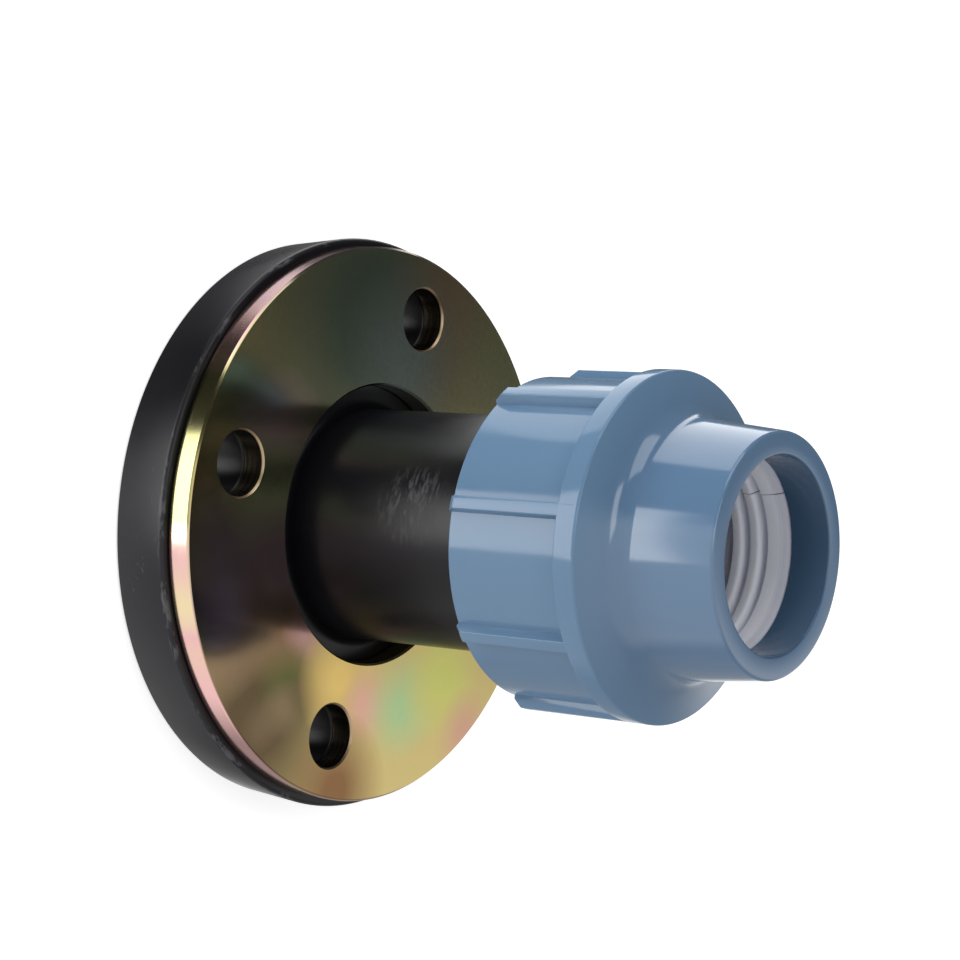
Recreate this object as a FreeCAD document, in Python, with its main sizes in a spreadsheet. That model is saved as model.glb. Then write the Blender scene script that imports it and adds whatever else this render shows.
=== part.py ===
"""Flanged adaptor that joins a plain-ended 50 mm plastic pipe to a DN50 bolted flange.

Millimetres. The origin is the centre of the flange's sealing face, and +Z runs along the bore to the mouth
where the pipe goes in. The adaptor stands on its sealing face.
"""
import FreeCAD, Part
import math
import os
import re
import Sketcher

SIZES = [
    # Moulded body: flange disc
    ("flange_radius", 82.5),
    ("flange_draft", 1.6),
    ("flange_thickness", 18.3),
    ("flange_front_bevel", 1.0),
    ("flange_rear_bevel", 0.8),
    ("bolt_edge", 20.0),
    ("bolt_hole_radius", 9.0),
    ("bolt_count", 4),
    # Moulded body: neck and bores
    ("head_step", 3.35),
    ("root_bevel", 3.0),
    ("stop_step", 3.8),
    ("pipe_radius", 25.0),
    ("pipe_clearance", 0.3),
    ("stop_height", 58.0),
    ("mouth_height", 119.0),
    # Moulded body: threaded head
    ("head_lead", 1.6),
    ("seal_width", 5.1),
    ("head_bevel", 1.0),
    ("chamber_wall", 6.2),
    ("chamber_depth", 11.0),
    # Thread zone between the head and the nut
    ("thread_depth", 2.4),
    ("thread_clearance", 0.4),
    # Backing plate
    ("plate_setback", 2.5),
    ("plate_play", 1.3),
    ("plate_thickness", 7.25),
    ("plate_bevel", 0.6),
    # Seal and thrust bush
    ("seal_height", 4.9),
    ("seal_bevel", 1.2),
    ("seal_play", 0.1),
    ("bush_play", 0.3),
    ("bush_rim", 3.5),
    ("bush_rim_drop", 1.2),
    # Split ring
    ("ring_length", 24.7),
    ("ring_rear_wall", 7.7),
    ("ring_front_wall", 3.0),
    ("ring_slot", 0.4),
    ("ring_slot_angle", 141.9),
    ("ring_play", 0.3),
    ("tooth_pitch", 5.5),
    ("tooth_depth", 1.4),
    ("tooth_land", 2.3),
    ("tooth_undercut", 0.4),
    ("ring_lead", 4.0),
    ("ring_lead_depth", 0.6),
    ("ring_nose", 2.4),
    ("ring_nose_depth", 1.0),
    # Nut
    ("nut_overlap", 33.9),
    ("nut_wall", 5.0),
    ("nut_rear_bevel", 0.6),
    ("rib_height", 3.1),
    ("collar_rear", 35.7),
    ("collar_width", 6.3),
    ("collar_bevel", 0.5),
    ("shoulder_rise", 4.9),
    ("shoulder_bevel", 3.8),
    ("tube_root_wall", 1.9),
    ("tube_mouth_wall", 6.2),
    ("mouth_play", 1.1),
    ("mouth_lip", 11.7),
    ("mouth_outer_bevel", 0.8),
    ("mouth_inner_bevel", 0.5),
    ("cavity_play", 0.3),
    ("thread_runout", 0.6),
    ("rib_count", 8),
    ("rib_width", 3.5),
    ("rib_flare", 0.4),
    ("rib_angle", 3.5),
    ("rib_bevel", 2.4),
    ("rib_bevel_drop", 2.2),
    ("rib_sink", 1.0),
    ("cut_overrun", 1.0),
]
TOOTH_COUNT = 3
# How near two places must be to count as the same one.
NEAR = 0.001

# Places that several pieces share, each worked out from the sizes.
SOCKET_RADIUS = "(pipe_radius + pipe_clearance)"
CHAMBER_RADIUS = f"({SOCKET_RADIUS} + seal_width)"
CORE_RADIUS = f"({CHAMBER_RADIUS} + chamber_wall)"
NECK_RADIUS = f"({CORE_RADIUS} - head_step)"
FLOW_RADIUS = f"({SOCKET_RADIUS} - stop_step)"
PLATE_RADIUS = "(flange_radius - plate_setback)"
PLATE_BORE_RADIUS = f"({CORE_RADIUS} + thread_depth + plate_play)"
BUSH_RIM_RADIUS = f"({CORE_RADIUS} - bush_rim_drop)"
RING_REAR_RADIUS = f"({SOCKET_RADIUS} + ring_rear_wall)"
RING_FRONT_RADIUS = f"({SOCKET_RADIUS} + ring_front_wall)"
THREAD_RADIUS = f"({CORE_RADIUS} + thread_depth + thread_clearance)"
NUT_RADIUS = f"({THREAD_RADIUS} + nut_wall)"
COLLAR_RADIUS = f"({NUT_RADIUS} + rib_height)"
CONE_REAR_RADIUS = f"({RING_REAR_RADIUS} + cavity_play)"
CONE_FRONT_RADIUS = f"({RING_FRONT_RADIUS} + cavity_play)"
TUBE_ROOT_RADIUS = f"({CONE_REAR_RADIUS} + tube_root_wall)"
MOUTH_RADIUS = f"({SOCKET_RADIUS} + mouth_play)"
TUBE_MOUTH_RADIUS = f"({MOUTH_RADIUS} + tube_mouth_wall)"
CHAMBER_FLOOR = "(mouth_height - chamber_depth)"
NUT_REAR = "(mouth_height - nut_overlap)"
HEAD_REAR = f"({NUT_REAR} - head_lead)"
RING_REAR = "(mouth_height + bush_rim)"
RING_FRONT = f"({RING_REAR} + ring_length)"
LIP_REAR = f"({RING_FRONT} + ring_play)"
NUT_MOUTH = f"({LIP_REAR} + mouth_lip)"

doc = FreeCAD.newDocument("flange_adaptor")
sheet = doc.addObject("Spreadsheet::Sheet", "Sizes")
for row, (alias, value) in enumerate(SIZES, start=1):
    sheet.set(f"A{row}", alias)
    sheet.set(f"B{row}", str(value))
    sheet.setAlias(f"B{row}", alias)
doc.recompute()


def cells(formula):
    """Point every size named in a formula at its cell."""
    return re.sub(r"[a-z_]+", r"Sizes.\g<0>", formula)


def origin_plane(body, role):
    """Find one of a body's own origin planes."""
    return next(feature for feature in body.Origin.OriginFeatures if feature.Role == role)


def new_body(name):
    """Start a sub-part whose label names its file."""
    body = doc.addObject("PartDesign::Body", name)
    body.Label = name
    return body


def new_sketch(body, name, plane, height="0", turn="0"):
    """Attach a sketch to one of the body's planes, raised and turned about the plane's normal."""
    sketch = body.newObject("Sketcher::SketchObject", name)
    sketch.AttachmentSupport = [(origin_plane(body, plane), "")]
    sketch.MapMode = "FlatFace"
    sketch.setExpression("AttachmentOffset.Base.z", cells(height))
    sketch.setExpression("AttachmentOffset.Rotation.Angle", cells(turn))
    return sketch


def outline(body, name, plane, points, height="0", turn="0"):
    """Draw a closed outline whose corners each sit at a formula's place. It starts as a rough ring of points."""
    sketch = new_sketch(body, name, plane, height, turn)
    count = len(points)
    step = 2 * math.pi / count
    ring = [FreeCAD.Vector(2 + math.cos(step * i), 2 + math.sin(step * i), 0) for i in range(count)]
    for i in range(count):
        sketch.addGeometry(Part.LineSegment(ring[i], ring[(i + 1) % count]), False)
    for i, (across, up) in enumerate(points):
        sketch.addConstraint(Sketcher.Constraint("Coincident", i, 2, (i + 1) % count, 1))
        for kind, formula, start in (("DistanceX", across, ring[i].x), ("DistanceY", up, ring[i].y)):
            place = sketch.addConstraint(Sketcher.Constraint(kind, -1, 1, i, 1, start))
            sketch.setExpression(f"Constraints[{place}]", cells(formula))
    return sketch


def circle(sketch, radius, across="0"):
    """Add a circle centred on the sketch's horizontal axis."""
    index = sketch.addGeometry(Part.Circle(FreeCAD.Vector(1, 0, 0), FreeCAD.Vector(0, 0, 1), 1), False)
    for kind, formula in (("DistanceX", across), ("DistanceY", "0")):
        place = sketch.addConstraint(Sketcher.Constraint(kind, -1, 1, index, 3, 1))
        sketch.setExpression(f"Constraints[{place}]", cells(formula))
    place = sketch.addConstraint(Sketcher.Constraint("Radius", index, 1))
    sketch.setExpression(f"Constraints[{place}]", cells(radius))


def turned(body, name, points, kind="PartDesign::Revolution"):
    """Turn an outline of radius and height about the bore axis, to add or to cut a round form."""
    sketch = outline(body, name + "_outline", "XZ_Plane", points)
    feature = body.newObject(kind, name)
    feature.Profile = sketch
    feature.ReferenceAxis = (sketch, ["V_Axis"])
    feature.Angle = 360
    sketch.Visibility = False
    doc.recompute()
    return feature


def polar(body, name, feature, count):
    """Repeat a feature evenly about the bore axis."""
    pattern = body.newObject("PartDesign::PolarPattern", name)
    pattern.Originals = [feature]
    pattern.Axis = (feature.Profile[0], ["N_Axis"])
    pattern.Angle = 360
    pattern.setExpression("Occurrences", cells(count))
    body.Tip = pattern
    doc.recompute()
    return pattern


def rim_edges(feature, sketch, corners):
    """Name the round edges about the bore axis that these corners of a turned outline left on the feature."""
    places = [sketch.Geometry[corner].StartPoint for corner in corners]
    names = []
    for index, edge in enumerate(feature.Shape.Edges, start=1):
        if not isinstance(edge.Curve, Part.Circle):
            continue
        centre = edge.Curve.Center
        for place in places:
            apart = FreeCAD.Vector(centre.x, centre.y, centre.z).distanceToPoint(FreeCAD.Vector(0, 0, place.y))
            if apart < NEAR and abs(edge.Curve.Radius - place.x) < NEAR:
                names.append(f"Edge{index}")
    return names


def hole_edges(feature, sketch):
    """Name the round edges that the first circle of a hole's sketch, and its copies, left on the feature."""
    hole = sketch.Geometry[0]
    names = []
    for index, edge in enumerate(feature.Shape.Edges, start=1):
        if isinstance(edge.Curve, Part.Circle) and abs(edge.Curve.Radius - hole.Radius) < NEAR:
            if math.hypot(edge.Curve.Center.x, edge.Curve.Center.y) > hole.Radius:
                names.append(f"Edge{index}")
    return names


def bevel(body, name, edges, amount):
    """Bevel the named edges of the body's last feature."""
    base = body.Tip
    feature = body.newObject("PartDesign::Chamfer", name)
    feature.Base = (base, edges)
    feature.setExpression("Size", cells(amount))
    doc.recompute()


def bolt_holes(body, thickness):
    """Cut the ring of bolt holes, down from the side that faces the nut."""
    sketch = new_sketch(body, "bolt_hole_outline", "XY_Plane", thickness)
    circle(sketch, "bolt_hole_radius", "flange_radius - bolt_edge")
    pocket = body.newObject("PartDesign::Pocket", "bolt_hole")
    pocket.Profile = sketch
    pocket.Type = "ThroughAll"
    doc.recompute()
    return polar(body, "bolt_holes", pocket, "bolt_count")


def moulded_body():
    """Flange disc, neck, pipe socket with its stop, seal chamber and threaded head: one moulding."""
    body = new_body("moulded_body")
    core = turned(body, "core", [
        (FLOW_RADIUS, "0"),
        ("flange_radius - flange_draft", "0"),
        ("flange_radius", "flange_thickness"),
        (NECK_RADIUS, "flange_thickness"),
        (NECK_RADIUS, f"{HEAD_REAR} - head_step"),
        (CORE_RADIUS, HEAD_REAR),
        (CORE_RADIUS, "mouth_height - head_bevel"),
        (f"{CORE_RADIUS} - head_bevel", "mouth_height"),
        (CHAMBER_RADIUS, "mouth_height"),
        (CHAMBER_RADIUS, CHAMBER_FLOOR),
        (SOCKET_RADIUS, CHAMBER_FLOOR),
        (SOCKET_RADIUS, "stop_height"),
        (FLOW_RADIUS, "stop_height"),
    ])
    profile = core.Profile[0]
    bevel(body, "root_chamfer", rim_edges(body.Tip, profile, [3]), "root_bevel")
    bevel(body, "rim_front_chamfer", rim_edges(body.Tip, profile, [2]), "flange_front_bevel")
    bevel(body, "rim_rear_chamfer", rim_edges(body.Tip, profile, [1]), "flange_rear_bevel")
    bolt_holes(body, "flange_thickness")
    return body


def backing_plate():
    """Loose steel ring behind which the bolts pull: it slides and turns on the neck."""
    body = new_body("backing_plate")
    plate = turned(body, "disc", [
        (PLATE_BORE_RADIUS, "flange_thickness"),
        (PLATE_RADIUS, "flange_thickness"),
        (PLATE_RADIUS, "flange_thickness + plate_thickness"),
        (PLATE_BORE_RADIUS, "flange_thickness + plate_thickness"),
    ])
    rims = rim_edges(plate, plate.Profile[0], [0, 1, 2, 3])
    bevel(body, "rim_chamfers", rims, "plate_bevel")
    holes = bolt_holes(body, "flange_thickness + plate_thickness")
    bevel(body, "hole_chamfers", hole_edges(holes, holes.Originals[0].Profile[0]), "plate_bevel")
    return body


def seal_ring():
    """Rubber ring on the floor of the seal chamber, with bevels that let the pipe past."""
    body = new_body("seal_ring")
    outer = f"({CHAMBER_RADIUS} - seal_play)"
    inner = f"({SOCKET_RADIUS} + seal_play)"
    top = f"({CHAMBER_FLOOR} + seal_height)"
    turned(body, "ring", [
        (f"{inner} + seal_bevel", CHAMBER_FLOOR),
        (outer, CHAMBER_FLOOR),
        (outer, top),
        (f"{inner} + seal_bevel", top),
        (inner, f"{top} - seal_bevel"),
        (inner, f"{CHAMBER_FLOOR} + seal_bevel"),
    ])
    return body


def thrust_bush():
    """Bush that carries the nut's thrust to the seal: a skirt in the chamber and a rim on the body's mouth."""
    body = new_body("thrust_bush")
    turned(body, "bush", [
        (SOCKET_RADIUS, f"{CHAMBER_FLOOR} + seal_height + bush_play"),
        (f"{CHAMBER_RADIUS} - bush_play", f"{CHAMBER_FLOOR} + seal_height + bush_play"),
        (f"{CHAMBER_RADIUS} - bush_play", "mouth_height"),
        (BUSH_RIM_RADIUS, "mouth_height"),
        (BUSH_RIM_RADIUS, RING_REAR),
        (SOCKET_RADIUS, RING_REAR),
    ])
    return body


def split_ring():
    """Conical clamp ring: barbs inside that bite the pipe as it pulls out, and one slot so that it closes."""
    body = new_body("split_ring")
    crest_radius = SOCKET_RADIUS
    valley_radius = f"({SOCKET_RADIUS} + tooth_depth)"
    first_crest = f"({RING_FRONT} - ring_nose - ring_lead)"
    points = [
        (valley_radius, RING_REAR),
        (RING_REAR_RADIUS, RING_REAR),
        (RING_FRONT_RADIUS, RING_FRONT),
        (f"{SOCKET_RADIUS} + ring_lead_depth + ring_nose_depth", RING_FRONT),
        (f"{SOCKET_RADIUS} + ring_lead_depth", f"{RING_FRONT} - ring_nose"),
    ]
    for tooth in range(TOOTH_COUNT):
        crest_height = f"({first_crest} - {tooth} * tooth_pitch)"
        points += [(crest_radius, crest_height), (valley_radius, f"{crest_height} - tooth_undercut")]
        if tooth < TOOTH_COUNT - 1:
            points.append((crest_radius, f"{crest_height} - tooth_pitch + tooth_land"))
    turned(body, "cone", points)
    slot = outline(body, "slot_outline", "XY_Plane", [
        ("0", "-ring_slot / 2"),
        (f"{RING_REAR_RADIUS} * 2", "-ring_slot / 2"),
        (f"{RING_REAR_RADIUS} * 2", "ring_slot / 2"),
        ("0", "ring_slot / 2"),
    ], turn="ring_slot_angle")
    pocket = body.newObject("PartDesign::Pocket", "slot")
    pocket.Profile = slot
    pocket.Type = "ThroughAll"
    pocket.Reversed = True
    doc.recompute()
    return body


def nut():
    """Ribbed compression nut: thread zone at the rear, cone for the split ring, tube with the pipe's mouth."""
    body = new_body("nut")
    collar_rear = f"({NUT_REAR} + collar_rear)"
    collar_front = f"({collar_rear} + collar_width)"
    shoulder_top = f"({collar_front} + shoulder_rise)"
    thread_front = "mouth_height + thread_runout"
    rim_radius = f"{BUSH_RIM_RADIUS} + cavity_play"
    core = turned(body, "core", [
        (THREAD_RADIUS, NUT_REAR),
        (NUT_RADIUS, NUT_REAR),
        (NUT_RADIUS, collar_rear),
        (COLLAR_RADIUS, collar_rear),
        (COLLAR_RADIUS, collar_front),
        (TUBE_ROOT_RADIUS, shoulder_top),
        (TUBE_MOUTH_RADIUS, NUT_MOUTH),
        (MOUTH_RADIUS, NUT_MOUTH),
        (MOUTH_RADIUS, LIP_REAR),
        (CONE_FRONT_RADIUS, LIP_REAR),
        (CONE_FRONT_RADIUS, RING_FRONT),
        (CONE_REAR_RADIUS, RING_REAR),
        (rim_radius, RING_REAR),
        (rim_radius, thread_front),
        (THREAD_RADIUS, thread_front),
    ])
    profile = core.Profile[0]
    bevel(body, "shoulder_chamfer", rim_edges(body.Tip, profile, [5]), "shoulder_bevel")
    bevel(body, "collar_chamfer", rim_edges(body.Tip, profile, [4]), "collar_bevel")
    bevel(body, "mouth_outer_chamfer", rim_edges(body.Tip, profile, [6]), "mouth_outer_bevel")
    bevel(body, "mouth_inner_chamfer", rim_edges(body.Tip, profile, [7]), "mouth_inner_bevel")
    bevel(body, "rear_chamfer", rim_edges(body.Tip, profile, [1]), "nut_rear_bevel")

    base = f"{NUT_RADIUS} - rib_sink"
    foot = "rib_width / 2 + rib_flare"
    rib_outline = outline(body, "rib_outline", "XY_Plane", [
        (base, f"-({foot})"),
        (COLLAR_RADIUS, "-rib_width / 2"),
        (COLLAR_RADIUS, "rib_width / 2"),
        (base, foot),
    ], height=NUT_REAR, turn="rib_angle")
    rib = body.newObject("PartDesign::Pad", "rib")
    rib.Profile = rib_outline
    rib.setExpression("Length", cells("collar_rear + rib_sink"))
    doc.recompute()
    polar(body, "ribs", rib, "rib_count")
    turned(body, "rib_ends", [
        (f"{COLLAR_RADIUS} - rib_bevel_drop", NUT_REAR),
        (f"{COLLAR_RADIUS} + cut_overrun", f"{NUT_REAR} - cut_overrun"),
        (f"{COLLAR_RADIUS} + cut_overrun", f"{NUT_REAR} + rib_bevel"),
        (COLLAR_RADIUS, f"{NUT_REAR} + rib_bevel"),
    ], kind="PartDesign::Groove")

    return body


def check(pieces):
    """Stop if anything in the document failed, or if a piece has no sound solid."""
    for item in doc.Objects:
        if "Invalid" in item.State or "Error" in item.State:
            raise RuntimeError(f"{item.Name} failed: {item.State}")
    for piece in pieces:
        shape = piece.Shape
        if shape.isNull() or not shape.isValid() or len(shape.Solids) != 1:
            raise RuntimeError(f"{piece.Label} is not one sound solid")


pieces = [moulded_body(), backing_plate(), seal_ring(), thrust_bush(), split_ring(), nut()]
doc.recompute()
check(pieces)
os.makedirs("parts", exist_ok=True)
for piece in pieces:
    piece.Shape.exportStep(f"parts/{piece.Label}.step")
    box = piece.Shape.BoundBox
    print(f"{piece.Label}: {piece.Shape.Volume / 1000:.1f} cm3, {box.XLength:.1f} x {box.YLength:.1f} x "
          f"{box.ZLength:.1f} mm from {box.ZMin:.1f}")
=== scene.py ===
# %% [markdown]
# # A flange adaptor for plastic pipe
# The real object is a black moulded flange with a long neck, a loose steel backing plate, and a blue ribbed
# nut that squeezes a white split ring onto the pipe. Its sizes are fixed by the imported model, so the first
# cell loads that model as a frame. Everything after it dresses the frame: rounder edges, threads, finishes,
# light and camera.

# %% Load the frame
import math

import bmesh
import bpy
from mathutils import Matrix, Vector


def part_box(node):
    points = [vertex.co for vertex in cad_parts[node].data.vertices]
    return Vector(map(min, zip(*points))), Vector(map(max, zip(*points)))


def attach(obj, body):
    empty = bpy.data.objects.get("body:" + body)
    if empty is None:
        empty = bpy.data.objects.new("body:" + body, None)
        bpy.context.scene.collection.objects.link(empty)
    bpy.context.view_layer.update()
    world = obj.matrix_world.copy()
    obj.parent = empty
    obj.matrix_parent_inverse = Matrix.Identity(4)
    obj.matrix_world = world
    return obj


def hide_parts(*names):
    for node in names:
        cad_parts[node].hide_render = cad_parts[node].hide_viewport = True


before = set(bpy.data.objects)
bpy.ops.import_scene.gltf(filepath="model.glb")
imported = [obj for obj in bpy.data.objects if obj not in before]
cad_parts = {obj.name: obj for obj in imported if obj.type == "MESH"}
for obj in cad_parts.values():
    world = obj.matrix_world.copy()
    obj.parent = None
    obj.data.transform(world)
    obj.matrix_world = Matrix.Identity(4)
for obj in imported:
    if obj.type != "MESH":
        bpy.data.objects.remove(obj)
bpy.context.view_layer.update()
print("nodes:", sorted(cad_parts))

# %% [markdown]
# ## Sizes
# Sizes are in millimetres, because that is how fittings are drawn, and one factor turns them into Blender's
# metres. Heights run along the bore from the sealing face. What the frame can tell is read from it, so that
# a piece made here ends where the real solid ends.

# %% Read the main sizes from the frame
MM = 0.001


def heights(node):
    """Lowest and highest point of a CAD node, in millimetres."""
    low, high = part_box(node)
    return low.z / MM, high.z / MM


def reach(node):
    """Largest radius of a CAD node about the bore, in millimetres."""
    return max(vertex.co.xy.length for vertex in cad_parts[node].data.vertices) / MM


BODY_FOOT, BODY_MOUTH = heights("moulded_body")
PLATE_REAR, PLATE_FRONT = heights("backing_plate")
NUT_REAR, NUT_MOUTH = heights("nut")
RING_REAR, RING_FRONT = heights("split_ring")
PLATE_RADIUS = reach("backing_plate")
for label, low, high in (
    ("body", BODY_FOOT, BODY_MOUTH),
    ("plate", PLATE_REAR, PLATE_FRONT),
    ("nut", NUT_REAR, NUT_MOUTH),
    ("split ring", RING_REAR, RING_FRONT),
):
    print(f"{label}: {low:.1f} to {high:.1f}")

# %% [markdown]
# ## Turned forms
# Each main piece is round about the bore, as a moulder's core pin and cavity are turned. A closed outline
# of radius and height is swept about the bore. The alternative is a stack of cylinders with bevels, but one
# outline gives every wall at once and lets each corner have its own rounding, as a drawing does.

# %% Outlines with rounded corners
ARC_STEPS = 6


def rounded(corners, steps=ARC_STEPS):
    """Points of a closed outline from corners of radius, height and rounding, all in millimetres."""
    outline = []
    for index, (across, up, rounding) in enumerate(corners):
        here = Vector((across, up))
        if not rounding:
            outline.append(here)
            continue
        back = (Vector(corners[index - 1][:2]) - here).normalized()
        ahead = (Vector(corners[(index + 1) % len(corners)][:2]) - here).normalized()
        half = back.angle(ahead) / 2
        centre = here + (back + ahead).normalized() * rounding / math.sin(half)
        first = (here + back * rounding / math.tan(half) - centre).normalized()
        last = (here + ahead * rounding / math.tan(half) - centre).normalized()
        turn = first.angle(last)
        for step in range(steps + 1):
            share = step / steps
            side = first * math.sin((1 - share) * turn) + last * math.sin(share * turn)
            outline.append(centre + side * rounding / math.sin(turn))
    return outline


# %% Sweep an outline about the bore
SEGMENTS = 288
SMOOTH_LIMIT = math.radians(28)


def new_piece(name, vertices, faces):
    """Make a mesh piece with its faces pointing outwards and smooth shading up to a limit."""
    mesh = bpy.data.meshes.new(name)
    mesh.from_pydata(vertices, [], faces)
    shell = bmesh.new()
    shell.from_mesh(mesh)
    bmesh.ops.recalc_face_normals(shell, faces=shell.faces)
    shell.to_mesh(mesh)
    shell.free()
    piece = bpy.data.objects.new(name, mesh)
    bpy.context.scene.collection.objects.link(piece)
    shade(piece)
    return piece


def shade(piece, limit=SMOOTH_LIMIT):
    """Shade smooth across gentle edges and keep the others crisp."""
    piece.data.shade_smooth()
    piece.data.set_sharp_from_angle(angle=limit)


def turned(name, outline, segments=SEGMENTS, first=0.0, sweep=360.0, centre=(0.0, 0.0)):
    """Sweep a closed outline about an axis parallel to the bore. A sweep short of a full turn is capped."""
    whole = sweep >= 360
    columns = segments if whole else segments + 1
    vertices = []
    for column in range(columns):
        angle = math.radians(first + sweep * column / segments)
        for radius, height in outline:
            across = centre[0] + radius * math.cos(angle)
            vertices.append((across * MM, (centre[1] + radius * math.sin(angle)) * MM, height * MM))
    rows = len(outline)
    faces = []
    for column in range(segments):
        here = column * rows
        beside = (column + 1) % columns * rows
        for row in range(rows):
            above = (row + 1) % rows
            faces.append((here + row, beside + row, beside + above, here + above))
    if not whole:
        faces.append(tuple(range(rows)))
        faces.append(tuple((columns - 1) * rows + row for row in reversed(range(rows))))
    return new_piece(name, vertices, faces)


def settle(piece):
    """Turn a piece with modifiers into a plain mesh."""
    depsgraph = bpy.context.evaluated_depsgraph_get()
    mesh = bpy.data.meshes.new_from_object(piece.evaluated_get(depsgraph))
    mesh.name = piece.name
    piece.modifiers.clear()
    piece.data = mesh


# %% [markdown]
# ## Bolt holes
# The four bolt holes go through the moulded flange and through the plate. The holes are cut with turned
# cutters, one for each place, so a cutter that flares at its ends leaves the small lead-in that a drill or
# a mould leaves.

# %% Cut the bolt holes
BOLT_CIRCLE_RADIUS = 62.5
HOLE_RADIUS = 9.0
BOLT_COUNT = 4
CUT_OVERRUN = 2.0
CUTTER_CORE = 0.01
CUTTER_SEGMENTS = 72


def drill(piece, low, high, lead):
    """Cut the ring of bolt holes between two heights, each with a lead-in at both ends."""
    outline = [
        (CUTTER_CORE, low - CUT_OVERRUN),
        (HOLE_RADIUS + lead + CUT_OVERRUN, low - CUT_OVERRUN),
        (HOLE_RADIUS, low + lead),
        (HOLE_RADIUS, high - lead),
        (HOLE_RADIUS + lead + CUT_OVERRUN, high + CUT_OVERRUN),
        (CUTTER_CORE, high + CUT_OVERRUN),
    ]
    cutters = []
    for hole in range(BOLT_COUNT):
        angle = 2 * math.pi * hole / BOLT_COUNT
        place = (BOLT_CIRCLE_RADIUS * math.cos(angle), BOLT_CIRCLE_RADIUS * math.sin(angle))
        cutters.append(turned(f"{piece.name}_cutter_{hole}", outline, CUTTER_SEGMENTS, centre=place))
    for cutter in cutters:
        cut = piece.modifiers.new(cutter.name, "BOOLEAN")
        cut.object = cutter
        cut.solver = "EXACT"
    settle(piece)
    for cutter in cutters:
        bpy.data.objects.remove(cutter)
    shade(piece)


# %% [markdown]
# ## Black moulding
# The flange disc, the neck and the socket are one injection moulding. Its rim has a little draft, so the
# rear is narrower than the front, and its edges are soft because a mould can't give a knife edge.

# %% Make the black moulding
FLANGE_FRONT = PLATE_REAR
FLANGE_RADIUS = 82.5
FLANGE_DRAFT = 1.6
NECK_RADIUS = 33.25
CORE_RADIUS = 36.6
SOCKET_RADIUS = 25.3
FLOW_RADIUS = 21.5
CHAMBER_RADIUS = 30.4
CHAMBER_DEPTH = 11.0
STOP_HEIGHT = 58.0
HEAD_LEAD = 1.6
MOULDED_HOLE_LEAD = 0.4

head_rear = NUT_REAR - HEAD_LEAD
body = turned("moulded_body_skin", rounded([
    (FLOW_RADIUS, BODY_FOOT, 0.5),
    (FLANGE_RADIUS - FLANGE_DRAFT, BODY_FOOT, 0.9),
    (FLANGE_RADIUS, FLANGE_FRONT, 1.3),
    (NECK_RADIUS, FLANGE_FRONT, 3.0),
    (NECK_RADIUS, head_rear - (CORE_RADIUS - NECK_RADIUS), 1.0),
    (CORE_RADIUS, head_rear, 0.6),
    (CORE_RADIUS, BODY_MOUTH, 1.0),
    (CHAMBER_RADIUS, BODY_MOUTH, 0.3),
    (CHAMBER_RADIUS, BODY_MOUTH - CHAMBER_DEPTH, 0.3),
    (SOCKET_RADIUS, BODY_MOUTH - CHAMBER_DEPTH, 0.3),
    (SOCKET_RADIUS, STOP_HEIGHT, 0.5),
    (FLOW_RADIUS, STOP_HEIGHT, 0.5),
]))
drill(body, BODY_FOOT, FLANGE_FRONT, MOULDED_HOLE_LEAD)
print("black moulding:", len(body.data.polygons), "faces")

# %% [markdown]
# ## Backing plate
# The plate is a flat steel ring, turned and then drilled, with small bevels that catch the light as thin
# bright lines. A turned outline with narrow bevels keeps those lines crisp.

# %% Make the backing plate
PLATE_BORE = 40.3
PLATE_BEVEL = 0.6

plate = turned("backing_plate_skin", [
    (PLATE_BORE, PLATE_REAR + PLATE_BEVEL),
    (PLATE_BORE + PLATE_BEVEL, PLATE_REAR),
    (PLATE_RADIUS - PLATE_BEVEL, PLATE_REAR),
    (PLATE_RADIUS, PLATE_REAR + PLATE_BEVEL),
    (PLATE_RADIUS, PLATE_FRONT - PLATE_BEVEL),
    (PLATE_RADIUS - PLATE_BEVEL, PLATE_FRONT),
    (PLATE_BORE + PLATE_BEVEL, PLATE_FRONT),
    (PLATE_BORE, PLATE_FRONT - PLATE_BEVEL),
])
drill(plate, PLATE_REAR, PLATE_FRONT, PLATE_BEVEL)

# %% [markdown]
# ## Nut shell
# The nut has a recessed grip with ribs, a collar, a shoulder that sweeps down in one concave curve, and a
# tube that narrows to the mouth. The sweep is a single large rounding between two straight sides of the
# outline.

# %% Make the nut's shell
NUT_RADIUS = 44.4
GRIP_LENGTH = 35.7
COLLAR_RADIUS = 47.5
COLLAR_LENGTH = 6.3
SHOULDER_RISE = 4.9
TUBE_ROOT_RADIUS = 35.2
TUBE_MOUTH_RADIUS = 32.6
MOUTH_RADIUS = 26.4
MOUTH_LIP = 11.7
THREAD_RADIUS = 39.4
RIM_RADIUS = 35.7
RIM_CLEARANCE = 0.6
CONE_REAR_RADIUS = 33.3
CONE_FRONT_RADIUS = 28.6
COLLAR_REAR = NUT_REAR + GRIP_LENGTH
COLLAR_FRONT = COLLAR_REAR + COLLAR_LENGTH
THREAD_FRONT = BODY_MOUTH + RIM_CLEARANCE

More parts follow.
